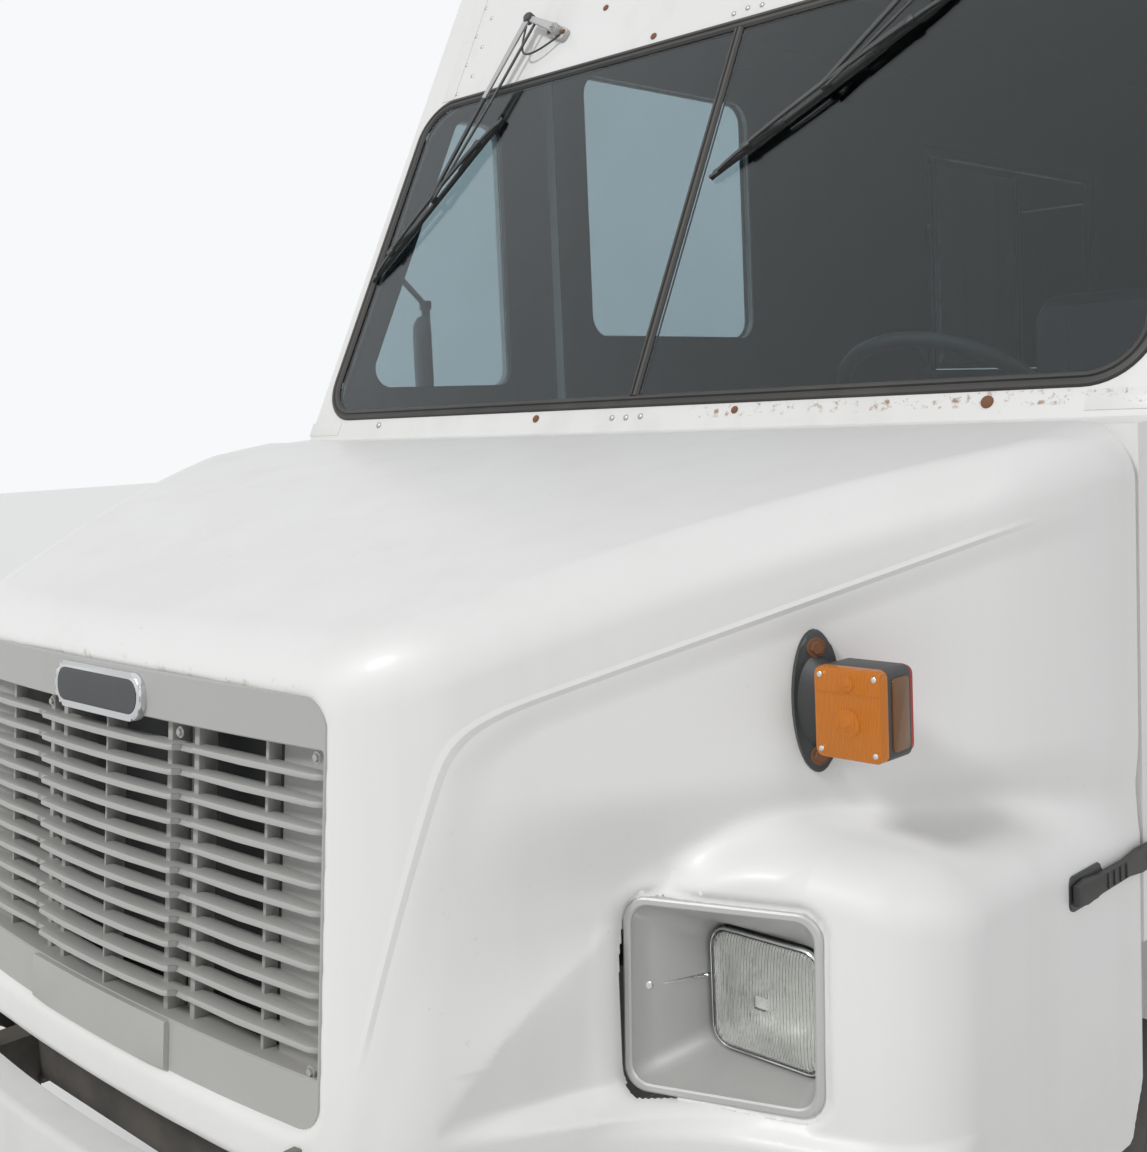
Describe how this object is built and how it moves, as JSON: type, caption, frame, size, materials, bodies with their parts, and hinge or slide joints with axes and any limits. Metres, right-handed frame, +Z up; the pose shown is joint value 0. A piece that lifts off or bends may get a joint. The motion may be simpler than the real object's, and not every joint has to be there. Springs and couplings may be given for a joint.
{
  "type": "ice cream truck",
  "caption": "Walk-in step van with a sloping tilt hood, sliding cab doors, rear doors and a side serving hatch.",
  "frame": {"origin": "on the ground, under the middle of the vehicle's box", "axes": "+Z up, the nose towards -Y, +X the driver's side"},
  "size_m": [2.6678, 6.9998, 3.27],
  "materials": {
    "white_paint": "gloss, weathered",
    "moulded_white": "gloss, scuffed",
    "frame_black": "satin",
    "steel_grey": "rough",
    "stainless": "brushed",
    "clear_glass": "clear",
    "lamp_silver": "satin",
    "amber_lens": "gloss",
    "black_plastic": "matte",
    "black_rubber": "matte",
    "tyre_black": "matte",
    "wheel_white": "gloss",
    "bumper_paint": "satin, scratched",
    "dash_grey": "matte",
    "seat_vinyl": "satin",
    "floor_plate": "satin"
  },
  "bodies": {
    "truck": {"front_cap": "white_paint", "windshield_gasket": "black_rubber", "cab_glass": "clear_glass", "cab_side_left": "white_paint", "cab_side_right": "white_paint", "side_panel_left": "white_paint", "side_panel_right": "white_paint", "roof_shell": "white_paint", "rear_frame": "white_paint", "floor_pan": "floor_plate", "serving_counter": "stainless", "serving_window": "clear_glass", "chassis_frame": "frame_black", "cross_members": "frame_black", "floor_sills": "frame_black", "front_bumper": "bumper_paint", "rear_bumper": "bumper_paint", "engine_block": "steel_grey", "radiator": "black_plastic", "front_axle": "steel_grey", "leaf_springs": "steel_grey", "rear_axle": "steel_grey", "dashboard": "dash_grey", "steering_wheel": "black_plastic", "driver_seat": "seat_vinyl", "freezer_cabinet": "stainless", "sales_counter": "stainless", "fuel_tank": "steel_grey", "exhaust": "steel_grey", "mirrors": "black_plastic", "wipers": "black_plastic", "body_lamps": "amber_lens", "loudspeaker": "lamp_silver"},
    "hood": {"hood_shell": "moulded_white", "grille": "lamp_silver", "headlamp_bezels": "lamp_silver", "headlamp_lenses": "clear_glass", "turn_signals": "black_plastic", "signal_lenses": "amber_lens", "hood_latches": "black_rubber"},
    "cab_door_left": {"cab_door_left": "white_paint", "door_glass_left": "clear_glass"},
    "cab_door_right": {"cab_door_right": "white_paint", "door_glass_right": "clear_glass"},
    "rear_door_left": {"rear_door_left": "white_paint"},
    "rear_door_right": {"rear_door_right": "white_paint"},
    "hatch": {"serving_hatch": "white_paint"},
    "knuckle_left": {"knuckle_left": "steel_grey"},
    "knuckle_right": {"knuckle_right": "steel_grey"},
    "front_wheel_left": {"tyre_front_left": "tyre_black", "wheel_front_left": "wheel_white"},
    "front_wheel_right": {"tyre_front_right": "tyre_black", "wheel_front_right": "wheel_white"},
    "rear_wheels_left": {"tyre_rear_left": "tyre_black", "wheel_rear_left": "wheel_white"},
    "rear_wheels_right": {"tyre_rear_right": "tyre_black", "wheel_rear_right": "wheel_white"}
  },
  "joints": [
    {"name": "hood_tilt", "type": "hinge", "parent": "truck", "child": "hood", "pos_m": [0, -3.405, 0.706], "axis": [1, 0, 0], "range_deg": [0, 65]},
    {"name": "cab_door_left_slide", "type": "slide", "parent": "truck", "child": "cab_door_left", "axis": [0, 1, 0], "range_m": [0, 0.86]},
    {"name": "cab_door_right_slide", "type": "slide", "parent": "truck", "child": "cab_door_right", "axis": [0, 1, 0], "range_m": [0, 0.86]},
    {"name": "rear_door_left_swing", "type": "hinge", "parent": "truck", "child": "rear_door_left", "pos_m": [0.772, 3.416, 1.78], "axis": [0, 0, -1], "range_deg": [0, 110]},
    {"name": "rear_door_right_swing", "type": "hinge", "parent": "truck", "child": "rear_door_right", "pos_m": [-0.772, 3.416, 1.78], "axis": [0, 0, 1], "range_deg": [0, 110]},
    {"name": "hatch_lift", "type": "hinge", "parent": "truck", "child": "hatch", "pos_m": [-1.072, 1.21, 2.526], "axis": [0, 1, 0], "range_deg": [0, 95]},
    {"name": "steer_left", "type": "hinge", "parent": "truck", "child": "knuckle_left", "pos_m": [0.745, -1.97, 0.406], "axis": [0, 0, 1], "range_deg": [-35, 35]},
    {"name": "steer_right", "type": "hinge", "parent": "truck", "child": "knuckle_right", "pos_m": [-0.745, -1.97, 0.406], "axis": [0, 0, 1], "range_deg": [-35, 35]},
    {"name": "front_wheel_left_spin", "type": "hinge", "parent": "knuckle_left", "child": "front_wheel_left", "pos_m": [0.9, -1.97, 0.406], "axis": [1, 0, 0], "continuous": true},
    {"name": "front_wheel_right_spin", "type": "hinge", "parent": "knuckle_right", "child": "front_wheel_right", "pos_m": [-0.9, -1.97, 0.406], "axis": [1, 0, 0], "continuous": true},
    {"name": "rear_wheels_left_spin", "type": "hinge", "parent": "truck", "child": "rear_wheels_left", "pos_m": [0.764, 2.03, 0.406], "axis": [1, 0, 0], "continuous": true},
    {"name": "rear_wheels_right_spin", "type": "hinge", "parent": "truck", "child": "rear_wheels_right", "pos_m": [-0.764, 2.03, 0.406], "axis": [1, 0, 0], "continuous": true}
  ],
  "couplings": [
    {"joint": "steer_right", "follows": "steer_left", "ratio": 1}
  ]
}
